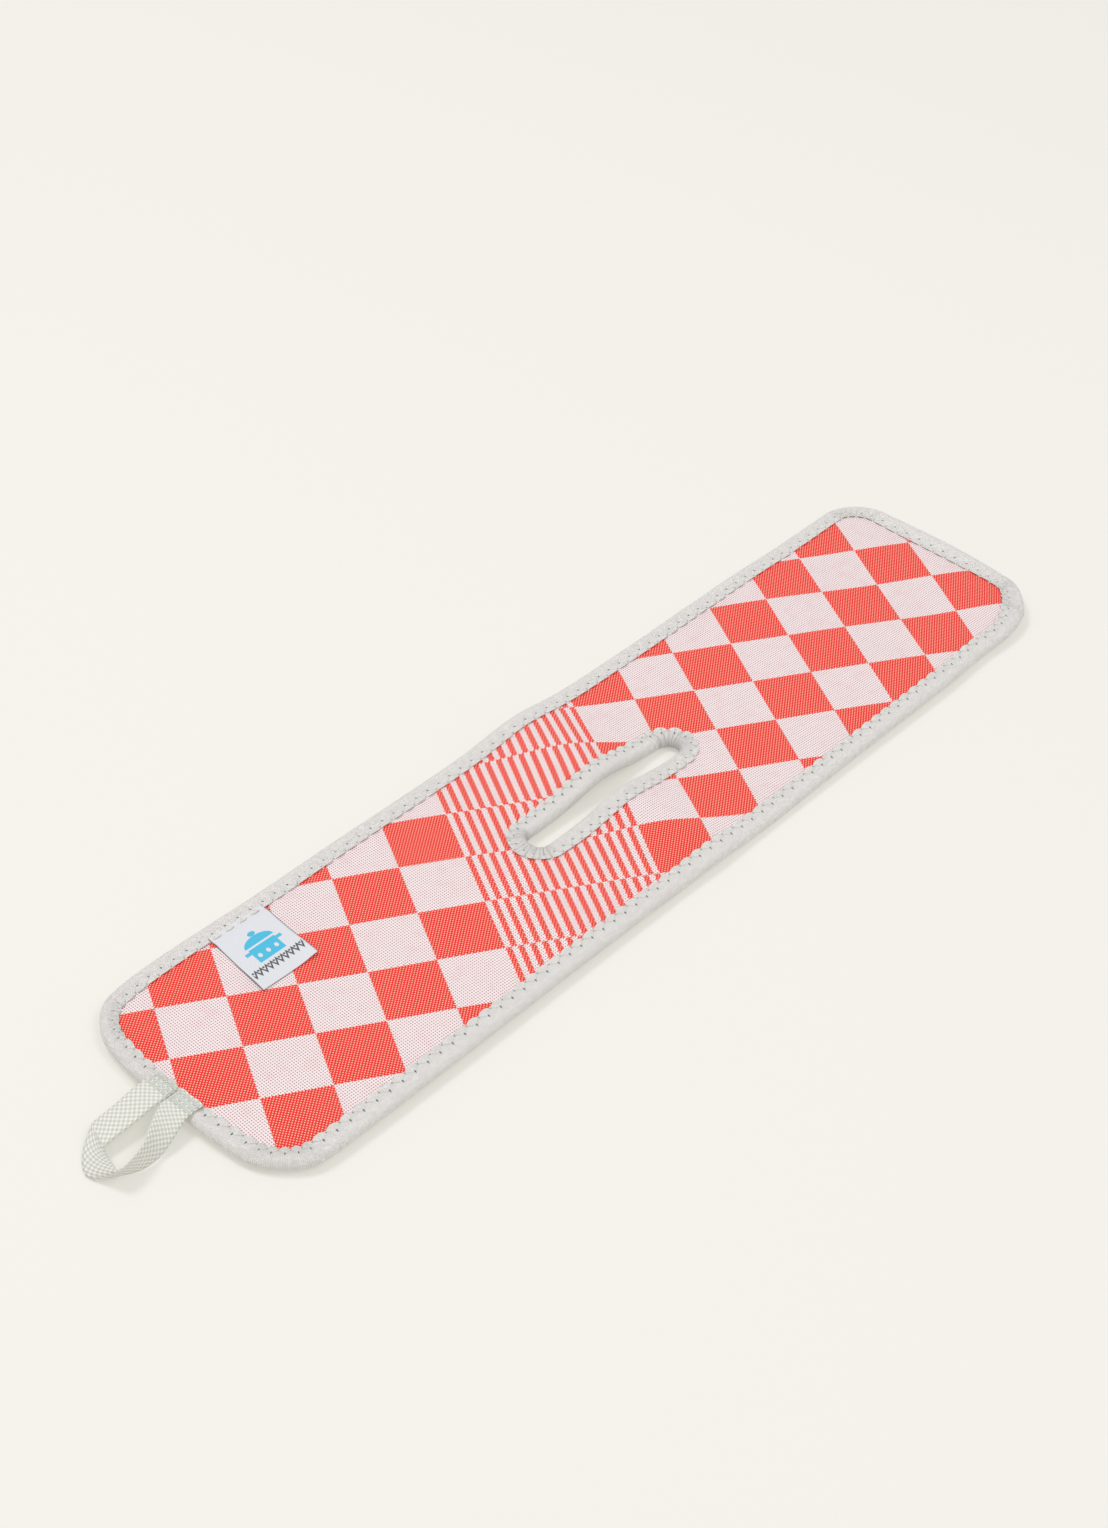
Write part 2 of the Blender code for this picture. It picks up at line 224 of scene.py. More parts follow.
def slot_coordinates(x, y):
    """(distance out from the slot's edge, stitch number) at a point. Stitches count from the near middle."""
    along = np.abs(x - SPLIT_X)
    beyond = np.maximum(along - SLOT_HALF_STRAIGHT, 0)
    outset = np.hypot(beyond, y) - SLOT_HALF_WIDTH
    straight = np.minimum(along, SLOT_HALF_STRAIGHT)
    turned = straight + SLOT_SEAM_RADIUS * np.arctan2(beyond, -y)
    run = np.where((beyond <= 0) & (y > 0), SLOT_HALF_RING - straight, turned)
    run = np.where(x < SPLIT_X, run, 2 * SLOT_HALF_RING - run)
    return outset, run / (2 * SLOT_HALF_RING) * SLOT_STITCHES


# ---- Mesh helpers ----


def catmull_rom(points, steps):
    """A smooth curve through points, with this many steps to each span."""
    points = np.asarray(points, float)
    padded = np.vstack([2 * points[0] - points[1], points, 2 * points[-1] - points[-2]])
    t = np.arange(steps)[:, None] / steps
    curve = []
    for i in range(len(points) - 1):
        before, here, after, beyond = padded[i : i + 4]
        square = (2 * before - 5 * here + 4 * after - beyond) * t**2
        cube = (3 * here - before - 3 * after + beyond) * t**3
        curve.append((2 * here + (after - before) * t + square + cube) / 2)
    return np.vstack([*curve, points[-1]])


def running_length(path):
    """The length along a path at each of its points."""
    return np.concatenate([[0], np.cumsum(np.linalg.norm(np.diff(path, axis=0), axis=1))])


def grid_uvs(along, across):
    """A UV pair for every value along with every value across."""
    return np.stack(np.broadcast_arrays(along[:, None], across[None, :]), axis=-1)


def add_object(name, data):
    made = bpy.data.objects.new(name, data)
    bpy.context.scene.collection.objects.link(made)
    return made


def make_piece(name, points, faces, corner_uvs, material, sharp=None):
    """A mesh object from points, faces and a UV pair for each face corner. sharp marks points whose
    shared edges stay hard."""
    mesh = bpy.data.meshes.new(name)
    mesh.from_pydata(np.asarray(points).tolist(), [], faces)
    layer = mesh.uv_layers.new(name="rest")
    layer.data.foreach_set("uv", np.asarray(corner_uvs, np.float32).ravel())
    mesh.shade_smooth()
    if sharp is not None:
        ends = np.empty(len(mesh.edges) * 2, np.int32)
        mesh.edges.foreach_get("vertices", ends)
        hard = sharp[ends.reshape(-1, 2)].all(axis=1)
        mesh.attributes.new("sharp_edge", "BOOLEAN", "EDGE").data.foreach_set("value", hard)
    mesh.materials.append(material)
    mesh.validate()
    mesh.update()
    return add_object(name, mesh)


def outward(points, faces, corner_uvs):
    """Turns the faces round if the closed mesh they make is inside out."""
    volume = 0.0
    for face in faces:
        for i in range(1, len(face) - 1):
            volume += np.dot(points[face[0]], np.cross(points[face[i]], points[face[i + 1]]))
    if volume >= 0:
        return faces, corner_uvs
    cuts = np.cumsum([len(face) for face in faces])[:-1]
    uvs = np.concatenate([part[::-1] for part in np.split(corner_uvs, cuts)])
    return [face[::-1] for face in faces], uvs


def ring_quads(spans, around, stations):
    """Numbers i and j for every quad of a skin over rings of points, and each quad's point numbers."""
    i, j = np.meshgrid(np.arange(spans), np.arange(around), indexing="ij")
    here, there, next_j = i * around, (i + 1) % stations * around, (j + 1) % around
    return i, j, np.stack([here + j, there + j, there + next_j, here + next_j], axis=-1)


def sweep(name, rings, uvs, closed, material):
    """A closed skin over rings of points, with end caps unless the rings join up. rings is
    (stations, points, 3) and uvs (stations, points, 2), with one station more of uvs if closed."""
    stations, around = rings.shape[:2]
    points = rings.reshape(-1, 3)
    i, j, quads = ring_quads(stations if closed else stations - 1, around, stations)
    next_j = (j + 1) % around
    corners = np.stack([uvs[i, j], uvs[i + 1, j], uvs[i + 1, next_j], uvs[i, next_j]], axis=2)
    faces, corners = quads.reshape(-1, 4).tolist(), corners.reshape(-1, 2)
    sharp = np.zeros(len(points), bool)
    if not closed:
        first = list(range(around))
        last = list(range((stations - 1) * around, stations * around))
        faces += [first, last[::-1]]
        corners = np.concatenate([corners, uvs[0], uvs[-1][::-1]])
        sharp[first] = sharp[last] = True
    faces, corners = outward(points, faces, corners)
    return make_piece(name, points, faces, corners, material, sharp)


TUBE_SIDES = 6


def tube(name, paths, radius, material):
    """One object of round tubes, each along a path of points, closed at its ends."""
    all_points, all_faces, all_uvs = [], [], []
    start = 0
    angles = np.arange(TUBE_SIDES) * 2 * math.pi / TUBE_SIDES
    for path in paths:
        path = np.asarray(path, float)
        tangent = np.gradient(path, axis=0)
        tangent /= np.linalg.norm(tangent, axis=1)[:, None]
        sideways = np.cross(tangent, [0.0, 0.0, 1.0])
        sideways /= np.linalg.norm(sideways, axis=1)[:, None]
        upward = np.cross(sideways, tangent)
        out = np.cos(angles)[:, None] * sideways[:, None] + np.sin(angles)[:, None] * upward[:, None]
        all_points.append((path[:, None] + radius * out).reshape(-1, 3))
        uvs = grid_uvs(running_length(path), np.arange(TUBE_SIDES + 1) / TUBE_SIDES)
        i, j, quads = ring_quads(len(path) - 1, TUBE_SIDES, len(path))
        corners = np.stack([uvs[i, j], uvs[i, j + 1], uvs[i + 1, j + 1], uvs[i + 1, j]], axis=2)
        first = start + np.arange(TUBE_SIDES)
        last = first + (len(path) - 1) * TUBE_SIDES
        all_faces += (quads[..., [0, 3, 2, 1]].reshape(-1, 4) + start).tolist()
        all_faces += [first[::-1].tolist(), last.tolist()]
        all_uvs += [corners.reshape(-1, 2), np.zeros((2 * TUBE_SIDES, 2))]
        start += len(path) * TUBE_SIDES
    return make_piece(name, np.concatenate(all_points), all_faces, np.concatenate(all_uvs), material)


# ---- Materials ----


def srgb(red, green, blue):
    """A colour from its screen values, 0 to 255."""
    screen = [value / 255 for value in (red, green, blue)]
    linear = [v / 12.92 if v <= 0.04045 else ((v + 0.055) / 1.055) ** 2.4 for v in screen]
    return (*linear, 1.0)


class Graph:
    """A material's nodes, with a short call for each kind that is used here."""

    def __init__(self, name, roughness, sheen=0.0, specular=0.5):
        self.material = bpy.data.materials.new(name)
        self.material.use_nodes = True
        self.tree = self.material.node_tree
        self.shader = self.tree.nodes["Principled BSDF"]
        looks = {"Roughness": roughness, "Sheen Weight": sheen, "Specular IOR Level": specular}
        for socket, value in (looks | {"Sheen Roughness": 0.4}).items():
            self.feed(self.shader.inputs[socket], value)

    def feed(self, socket, value):
        if isinstance(value, bpy.types.NodeSocket):
            self.tree.links.new(value, socket)
        else:
            socket.default_value = value

    def node(self, kind, sockets, **settings):
        """A new node with these settings, and values or links for its sockets by name or place."""
        node = self.tree.nodes.new("ShaderNode" + kind)
        for setting, value in settings.items():
            setattr(node, setting, value)
        for socket, value in sockets.items():
            self.feed(node.inputs[socket], value)
        return node.outputs

    def math(self, operation, *values, clamp=False):
        return self.node("Math", dict(enumerate(values)), operation=operation, use_clamp=clamp)[0]

    def add(self, a, b):
        return self.math("ADD", a, b)

    def minus(self, a, b):
        return self.math("SUBTRACT", a, b)

    def inverted(self, share):
        return self.minus(1.0, share)

    def times(self, a, b):
        return self.math("MULTIPLY", a, b)

    def size(self, value):
        return self.math("ABSOLUTE", value)

    def larger(self, a, b):
        return self.math("MAXIMUM", a, b)

    def below(self, value, limit):
        return self.math("LESS_THAN", value, limit)

    def mix(self, share, a, b):
        """A colour between a and b."""
        return self.node("Mix", {"Factor": share, "A": a, "B": b}, data_type="RGBA")["Result"]

    def blend(self, share, a, b):
        """A number between a and b."""
        return self.add(a, self.times(share, self.minus(b, a)))

    def ramp(self, value, low, high):
        """0 below low, 1 above high, smooth between."""
        sockets = {"Value": value, "From Min": low, "From Max": high}
        return self.node("MapRange", sockets, interpolation_type="SMOOTHSTEP")["Result"]

    def wave(self, value):
        """0 to 1 and back each time value grows by one, highest at whole numbers."""
        cosine = self.math("COSINE", self.times(value, 2 * math.pi))
        return self.math("MULTIPLY_ADD", cosine, 0.5, 0.5)

    def uv(self, name="rest"):
        split = self.node("SeparateXYZ", {0: self.node("UVMap", {}, uv_map=name)["UV"]})
        return split["X"], split["Y"]

    def noise(self, x, y, scale, detail=2.0):
        place = self.node("CombineXYZ", {"X": x, "Y": y})[0]
        return self.node("TexNoise", {"Scale": scale, "Detail": detail, "Vector": place})["Fac"]

    def colour(self, value):
        self.feed(self.shader.inputs["Base Color"], value)

    def bump(self, height, strength, distance):
        node = self.node("Bump", {"Strength": strength, "Distance": distance, "Height": height})
        self.feed(self.shader.inputs["Normal"], node["Normal"])


# The check: square cells on the bias, with a band of narrow stripes across the middle.
CELL = 0.033
CHECK_ANGLE = math.radians(-31.5)
CHECK_ORIGIN = (7.630, -2.993)
BAND_START = 5
BAND_CELLS = 2.67
BAND_STRIPES = 30
WARP_THREADS = 56
WEFT_THREADS = 53
RED_GROUND = srgb(244, 51, 43)
RED_FLECK = srgb(255, 226, 200)
# Painted shade for the gaps beside the red cells' raised pale flecks.
RED_PAINTED_SHADE = srgb(196, 52, 42)
PINK_GROUND = srgb(249, 237, 237)
PINK_FLECK = srgb(160, 104, 110)
PINK_BLUSH = srgb(240, 186, 186)


def check_material():
    """A five-end damask: red satin cells with pale flecks and white satin cells with red flecks."""
    g = Graph("check_cloth", roughness=0.85, sheen=0.12, specular=0.25)
    x, y = g.uv()
    cos, sin = math.cos(CHECK_ANGLE) / CELL, math.sin(CHECK_ANGLE) / CELL
    u = g.add(g.add(g.times(x, cos), g.times(y, sin)), CHECK_ORIGIN[0])
    v = g.add(g.add(g.times(x, sin), g.times(y, -cos)), CHECK_ORIGIN[1])
    warp, weft = g.times(u, WARP_THREADS), g.times(v, WEFT_THREADS)
    satin = {}
    for lean, sign in (("red", 1.0), ("pink", -1.0)):
        first = g.add(g.times(warp, 2.0), g.times(weft, sign))
        second = g.add(warp, g.times(weft, -2.0 * sign))
        satin[lean] = [g.wave(g.times(twill, 0.2)) for twill in (first, second)]
    edge_u = g.add(u, g.times(g.minus(satin["red"][1], 0.5), 0.016))
    edge_v = g.add(v, g.times(g.minus(satin["pink"][0], 0.5), 0.016))
    column = g.math("FLOOR", edge_u)
    into_band = g.minus(edge_u, BAND_START)
    stripe = g.add(g.math("FLOOR", g.times(into_band, BAND_STRIPES / BAND_CELLS)), BAND_START)
    past_band = g.math("FLOOR", g.minus(into_band, BAND_CELLS))
    past_band = g.add(past_band, BAND_START + BAND_STRIPES)
    column = g.blend(g.math("GREATER_THAN", into_band, 0.0), column, stripe)
    column = g.blend(g.math("GREATER_THAN", into_band, BAND_CELLS), column, past_band)
    red = g.math("FLOORED_MODULO", g.add(column, g.math("FLOOR", edge_v)), 2.0)
    red = g.math("GREATER_THAN", red, 0.5)
    flecks = {}
    for (lean, (first, second)), reach in zip(satin.items(), ((0.38, 0.74), (0.26, 0.66))):
        there = g.times(first, second)
        away = g.times(g.inverted(first), g.inverted(second))
        flecks[lean] = (g.ramp(there, *reach), g.ramp(away, 0.35, 0.85), there)
    cotton = g.noise(x, y, 900.0)
    cloudy = g.noise(x, y, 45.0)
    # Between its pale flecks the red darkens: painted shade beside each raised fleck.
    red_colour = g.mix(g.times(flecks["red"][1], 0.55), RED_GROUND, RED_PAINTED_SHADE)
    red_colour = g.mix(g.times(flecks["red"][0], 0.85), red_colour, RED_FLECK)
    blush = g.times(g.ramp(g.noise(x, y, 130.0), 0.45, 0.75), 0.16)
    pink_colour = g.mix(blush, PINK_GROUND, PINK_BLUSH)
    pink_colour = g.mix(g.times(flecks["pink"][0], 0.85), pink_colour, PINK_FLECK)
    colour = g.mix(red, pink_colour, red_colour)
    shade = g.add(g.times(cotton, 0.16), g.times(cloudy, 0.10))
    g.colour(g.mix(g.math("SUBTRACT", shade, 0.10, clamp=True), colour, srgb(196, 150, 146)))
    floats = g.blend(red, g.wave(weft), g.wave(warp))
    fleck = g.blend(red, g.inverted(flecks["pink"][2]), flecks["red"][2])
    g.bump(g.add(g.add(g.times(floats, 0.35), fleck), g.times(cotton, 0.5)), 0.6, 0.00022)
    return g.material


TAPE_COLOUR = srgb(255, 253, 250)
TAPE_SHADE = srgb(230, 225, 221)
# Painted shade: the dark of the needle holes, of the notches where the thread pins the tape's edge, and of
# the slot tape's fold bottoms.
PAINTED_SHADE_COLOUR = srgb(70, 74, 74)


def gather_shade(g, stitch):
    """The dark bottoms of the slot tape's folds, which are in the same places as slot_gather's."""
    swing = g.times(g.math("SINE", g.times(stitch, FOLD_SWING[1])), FOLD_SWING[0])
    turn = g.times(g.add(g.times(stitch, FOLDS_PER_STITCH), swing), math.pi)
    bottom = g.inverted(g.ramp(g.size(g.math("SINE", turn)), 0.08, 0.50))
    left = g.size(g.minus(stitch, SLOT_STITCHES / 4))
    left = g.inverted(g.ramp(left, 2.2, 4.0))
    right = g.size(g.minus(stitch, SLOT_STITCHES * 3 / 4 - 1.8))
    right = g.inverted(g.ramp(right, 1.2, 2.4))
    return g.times(g.times(bottom, g.larger(left, right)), 0.30)


def tape_material(name, band):
    """Ribbed tape. UV is (stitch number, distance from the tape's nearer edge in millimetres)."""
    g = Graph(name, roughness=0.6, sheen=0.2, specular=0.35)
    stitch, across = g.uv()
    waver = g.noise(g.times(stitch, 2.0), g.times(across, 0.6), 1.0)
    rib = g.wave(g.add(g.times(stitch, band.ribs), g.times(waver, 0.5)))
    fine = g.wave(g.times(across, 2.2))
    yarn = g.ramp(g.noise(g.times(stitch, 8.0), across, 1.6), 0.30, 0.70)
    broad = g.ramp(g.noise(g.times(stitch, 5.0), across, 0.5), 0.32, 0.68)
    # The ribs are painted darker in their troughs, as painted shade that follows the rib bump; the yarn and
    # broad noise is the tape's own uneven tone.
    share = g.add(g.times(rib, 0.44), g.add(g.times(yarn, 0.32), g.times(broad, 0.24)))
    colour = g.mix(share, TAPE_SHADE, TAPE_COLOUR)
    # The needle holes and the notches at the tape's edge are painted dark, as painted shade in those hollows.
    along = g.times(g.minus(g.math("FRACT", stitch), 0.5), band.pitch / MM)
    aside = g.times(g.minus(across, (band.width - band.row) / MM), 0.75)
    away = g.math("SQRT", g.add(g.times(along, along), g.times(aside, aside)))
    hole = g.inverted(g.ramp(away, 0.30, 0.72))
    along = g.times(g.minus(g.math("FRACT", g.add(stitch, 0.5)), 0.5), band.pitch / MM)
    pin_shade = g.inverted(g.ramp(g.size(along), 0.18, 0.60))
    pin_shade = g.times(pin_shade, g.inverted(g.ramp(across, 0.5, 1.7)))
    dark = g.larger(g.times(hole, 0.9), g.times(pin_shade, 0.62))
    # At the slot, the bottoms of the gathered folds get the same painted shade.
    if band is SLOT:
        dark = g.larger(dark, gather_shade(g, stitch))
    g.colour(g.mix(dark, colour, PAINTED_SHADE_COLOUR))
    height = g.add(g.times(rib, 0.8), g.add(g.times(fine, 0.12), g.times(yarn, 0.5)))
    g.bump(height, 1.0, 0.0004)
    return g.material


def thread_material():
    g = Graph("sewing_thread", roughness=0.5, sheen=0.2, specular=0.45)
    along, around = g.uv()
    ply = g.wave(g.add(g.times(along, 1 / 0.0011), around))
    # The thread runs from a dark green-grey to near white along its ply twist. The dark end is painted shade
    # that stands for the zigzag legs' shadows and the grooves between plies.
    g.colour(g.mix(ply, srgb(196, 204, 197), srgb(238, 240, 235)))
    g.bump(ply, 0.5, 0.00008)
    return g.material


# The webbing's weave, in millimetres.
PICK_PITCH = 1.5
CORD_PITCH = 1.55


def webbing_material():
    """Flat webbing in a coarse plain weave. UV is (distance along, distance across) in millimetres."""
    g = Graph("webbing", roughness=0.6, sheen=0.15, specular=0.35)
    along, across = g.uv()
    pick = g.times(along, 1 / PICK_PITCH)
    end = g.times(across, 1 / CORD_PITCH)
    checker = g.times(g.math("COSINE", g.times(pick, math.pi)), g.math("COSINE", g.times(end, math.pi)))
    over = g.ramp(checker, -0.15, 0.75)
    under = g.ramp(g.times(checker, -1.0), 0.15, 0.85)
    bar = g.wave(g.add(pick, 0.5))
    yarn = g.noise(along, across, 4.0)
    # The raised crossings are painted lighter as painted highlight, and the sunken ones between them darker
    # as painted shade; the yarn noise is the webbing's own uneven tone.
    colour = g.mix(over, srgb(230, 230, 219), srgb(255, 255, 252))
    colour = g.mix(g.times(under, 0.62), colour, srgb(184, 185, 171))
    colour = g.mix(g.times(yarn, 0.18), colour, srgb(190, 190, 176))
    g.colour(colour)
    g.bump(g.add(g.add(over, g.times(bar, 0.45)), g.times(yarn, 0.3)), 0.9, 0.0004)
    return g.material


PAPER_LINES = 3.6
LABEL_PAPER = srgb(225, 228, 232)
LABEL_MARK = srgb(72, 190, 226)
# The print colour of the zigzag border, also used for the painted shadow line along the label's sides.
LABEL_INK_AND_EDGE_SHADE = srgb(58, 58, 66)

# The label's drawing: its middle in its own millimetres, where that comes on the label, and its scale.
DRAWING_MIDDLE = (18.6, 15.6)
DRAWING_PLACE = (17.3, 15.6)
DRAWING_SCALE = 1.16
# The cooking pot and the zigzag border in the drawing, each as (middle, half sizes).
POT_BODY = ((19.0, 20.2), (6.9, 4.3))
POT_RIM = ((19.0, 17.6), (9.6, 0.9))
POT_LID = ((19.0, 14.9), (7.6, 4.4))
POT_KNOB = ((19.0, 9.2), (1.9, 1.3))
POT_DOTS = [((x, 20.9), (0.95, 1.2)) for x in (14.6, 19.0, 23.4)]
BORDER = ((18.6, 28.2), (13.6, 3.4))
TOOTH_PITCH = 2.8
TOOTH_SLOPE = 6.6
TOOTH_TOP = 26.6
TOOTH_HALF_LINE = 0.95
TOOTH_DOT_Y = 27.0
TOOTH_DOT_AREA = 0.3


def box_mark(g, x, y, centre, half):
    """1 inside a rectangle, centre and half sizes in millimetres."""
    inside_x = g.below(g.size(g.minus(x, centre[0])), half[0])
    inside_y = g.below(g.size(g.minus(y, centre[1])), half[1])
    return g.times(inside_x, inside_y)


def disc_mark(g, x, y, centre, radii):
    """1 inside an ellipse."""
    away_x = g.times(g.minus(x, centre[0]), 1 / radii[0])
    away_y = g.times(g.minus(y, centre[1]), 1 / radii[1])
    return g.below(g.add(g.times(away_x, away_x), g.times(away_y, away_y)), 1.0)


def label_material():
    """Woven satin with a plain cooking pot over a zigzag border. UV is (across, down from the tape's
    edge) in millimetres."""
    g = Graph("label_satin", roughness=0.42, sheen=0.1, specular=0.45)
    across, down = g.uv()
    x, y = (
        g.math("MULTIPLY_ADD", value, 1 / DRAWING_SCALE, middle - place / DRAWING_SCALE)
        for value, middle, place in zip((across, down), DRAWING_MIDDLE, DRAWING_PLACE)
    )
    weft = g.wave(g.times(down, PAPER_LINES))
    warp = g.wave(g.times(across, 5.5))
    woven_x = g.add(x, g.times(g.minus(weft, 0.5), 0.12))
    lid = g.times(disc_mark(g, woven_x, y, *POT_LID), g.below(y, POT_LID[0][1]))
    mark = g.larger(box_mark(g, woven_x, y, *POT_BODY), box_mark(g, woven_x, y, *POT_RIM))
    mark = g.larger(g.larger(mark, lid), disc_mark(g, woven_x, y, *POT_KNOB))
    for dot in POT_DOTS:
        mark = g.times(mark, g.inverted(disc_mark(g, x, y, *dot)))
    teeth = g.size(g.minus(g.math("FRACT", g.times(x, 1 / TOOTH_PITCH)), 0.5))
    line = g.minus(y, g.add(g.times(teeth, TOOTH_SLOPE), TOOTH_TOP))
    dots = g.math("FRACT", g.add(g.times(x, 1 / TOOTH_PITCH), 0.5))
    dots = g.times(g.minus(dots, 0.5), TOOTH_PITCH)
    past = g.minus(y, TOOTH_DOT_Y)
    dots = g.below(g.add(g.times(dots, dots), g.times(past, past)), TOOTH_DOT_AREA)
    border = g.larger(g.below(g.size(line), TOOTH_HALF_LINE), dots)
    border = g.times(border, box_mark(g, x, y, *BORDER))
    colour = g.mix(g.times(weft, 0.22), LABEL_PAPER, srgb(216, 217, 230))
    colour = g.mix(mark, colour, LABEL_MARK)
    colour = g.mix(g.times(border, 0.92), colour, LABEL_INK_AND_EDGE_SHADE)
    # The label's two side edges darken as a painted shadow line.
    rim = g.ramp(g.size(g.minus(g.uv("edge")[0], 0.5)), 0.488, 0.496)
    g.colour(g.mix(g.times(rim, 0.75), colour, LABEL_INK_AND_EDGE_SHADE))
    g.bump(g.add(g.times(weft, 0.6), g.add(g.times(warp, 0.3), g.times(mark, 0.5))), 0.35, 0.00012)
    return g.material


def foam_material():
    g = Graph("foam", roughness=0.9, specular=0.2)
    x, y = g.uv()
    cells = g.noise(x, y, 1400.0, detail=3.0)
    g.colour(g.mix(cells, srgb(62, 62, 66), srgb(104, 104, 108)))
    g.bump(cells, 0.6, 0.0003)
    return g.material


CHECK = check_material()
EDGE_TAPE = tape_material("edge_tape", EDGE)
SLOT_TAPE = tape_material("slot_tape", SLOT)
THREAD = thread_material()
WEBBING = webbing_material()
LABEL = label_material()
FOAM = foam_material()


# ---- Tape ----

# The tape's section, from the top inner edge round the outside to the bottom inner edge, and back
# along its hidden face: (distance in from the fold, height above the rest plane), millimetres.
TAPE_OUTSIDE = [
    (10.8, 6.42), (10.2, 6.55), (9.1, 6.38), (7.5, 6.45), (6.2, 6.80), (4.6, 7.00), (3.0, 6.88),
    (1.5, 6.20), (0.45, 5.00), (0.0, 3.50), (0.45, 2.00), (1.5, 0.80), (3.0, 0.14), (4.6, 0.00),
    (6.2, 0.08), (7.5, 0.36), (9.1, 0.42), (10.2, 0.30), (10.8, 0.36),
]
TAPE_INSIDE = [
    (10.7, 0.95), (8.5, 0.98), (5.0, 0.66), (2.4, 1.20), (0.9, 3.50), (2.4, 5.80), (5.0, 6.34),
    (8.5, 5.84), (10.7, 6.00),
]
SECTION_STEPS = 2


# What the zigzag seam does to the tape's face.
EDGE_PUFF = 1.15 * MM
ROLL_PUFF = 0.50 * MM
SEAM_DIP = 0.75 * MM
HOLE_DIP = 0.60 * MM
HOLE_REACH = 0.45 * MM
SCALLOP = 1.1 * MM
SCALLOP_REACH = 2.4 * MM


def stitch_relief(phase, inset, band):
    """How far the seam moves the tape's face, in metres: drawn down under the thread and at the needle
    holes, puffed up between them and most at the tape's edge. Inner needle holes are at whole stitch
    numbers, outer ones halfway between."""
    to_pin = np.abs(phase - np.round(phase))
    across = (inset - band.row) / STITCH_DEPTH
    beyond = across - (1 - 2 * to_pin)
    edge_puff = 1 - (1 - np.clip(beyond, 0, 1)) ** 2
    roll_puff = 1 - (1 - np.clip(-beyond, 0, 1)) ** 2
    sewn = smoothstep((across + 0.55) / 0.55)
    hole = np.exp(-(((0.5 - to_pin) * band.pitch) ** 2 + (inset - band.row) ** 2) / (2 * HOLE_REACH**2))
    drawn = sewn * (ROLL_PUFF * roll_puff - SEAM_DIP) + EDGE_PUFF * edge_puff
    return drawn - HOLE_DIP * hole


def scallop(phase):
    """How far the tape's edge is drawn back where a stitch passes over it."""
    return SCALLOP * (1 - np.abs(np.sin(math.pi * phase)) ** 0.7)


def section(width):
    """The tape's section as (inset, height, distance from the nearer tape edge), smoothed, in metres."""
    outside = catmull_rom(TAPE_OUTSIDE, SECTION_STEPS)
    inside = catmull_rom(TAPE_INSIDE, SECTION_STEPS)
    run = running_length(outside)
    near_edge = np.minimum(run, run[-1] - run)
    hidden = np.interp(np.linspace(0, 1, len(inside)), np.linspace(0, 1, len(outside)), near_edge)
    points = np.vstack([outside, inside]) * MM
    points[:, 0] *= width / TAPE_WIDTH
    return np.column_stack([points, np.concatenate([near_edge, hidden])])


def tape_top(phase, inset, band):
    """The height of the tape's top face above the rest plane."""
    top = np.array(TAPE_OUTSIDE[:9])[::-1] * MM
    flat = np.interp(inset, top[:, 0] * band.width / TAPE_WIDTH, top[:, 1])
    return flat + stitch_relief(phase, inset, band)


def tape_rings(place, phase, band, gather=None):
    """The tape's section at each station. place gives (x, y) for an array of phase and inset."""
    shape = section(band.width)
    inset = np.broadcast_to(shape[:, 0], (len(phase), len(shape))).copy()
    height = np.broadcast_to(shape[:, 1], inset.shape).copy()
    phases = np.broadcast_to(phase[:, None], inset.shape)
    inset -= scallop(phases) * smoothstep((inset - band.width + SCALLOP_REACH) / SCALLOP_REACH)
    relief = stitch_relief(phases, inset, band)
    height += np.where(height > MIDDLE_Z, relief, -0.4 * np.minimum(relief, 0))
    if gather is not None:
        height, inset = gather(phases, inset, height)
    x, y = settle(*place(phases, inset))
    rings = np.stack([x, y, height + lift(x, y)], axis=-1)
    return rings, shape[:, 2]


def outer_place(side):
    """Turns (stitch number, inset) into (x, y) along one half of the outer edge."""
    straight = float(straight_length(side))
    total = float(half_length(side))
    corner_x = SPLIT_X + side * straight
    end_start = straight + CORNER_RUN

    def place(phase, inset):
        run = phase / EDGE_STITCHES * total
        run_home = np.minimum(run, total - run)
        turn = np.clip((run_home - straight) / CORNER_RADIUS, 0, math.pi / 2)
        radius = CORNER_RADIUS - inset
        x = np.where(run_home < straight, SPLIT_X + side * run_home, corner_x + side * radius * np.sin(turn))
        y = np.where(run < total / 2, -1.0, 1.0) * (END_HALF_STRAIGHT + radius * np.cos(turn))
        on_end = (run >= end_start) & (run <= end_start + 2 * END_HALF_STRAIGHT)
        return x, np.where(on_end, run - end_start - END_HALF_STRAIGHT, y)

    return place


def slot_place(phase, outset):
    """Turns (stitch number, outset) into (x, y) round the slot."""
    run = phase / SLOT_STITCHES * 2 * SLOT_HALF_RING
    left = run < SLOT_HALF_RING
    run = np.where(left, run, 2 * SLOT_HALF_RING - run)
    turn = np.clip((run - SLOT_HALF_STRAIGHT) / SLOT_SEAM_RADIUS, 0, math.pi)
    along = np.minimum(run, SLOT_HALF_STRAIGHT)
    along = np.where(turn >= math.pi, SLOT_HALF_RING - run, along)
    reach = SLOT_HALF_WIDTH + outset
    return SPLIT_X + np.where(left, -1.0, 1.0) * (along + reach * np.sin(turn)), -reach * np.cos(turn)


# The gathers at the slot's ends: their depth, how far out from the slot's edge they are deepest and
# how far they reach from there, and how far before the turn they begin and come to their full depth.
GATHER_DEPTH = 1.0 * MM
GATHER_MIDDLE = 2.4 * MM
GATHER_REACH = 2.6 * MM
GATHER_LEAD = 5 * MM
GATHER_EASE = 7 * MM


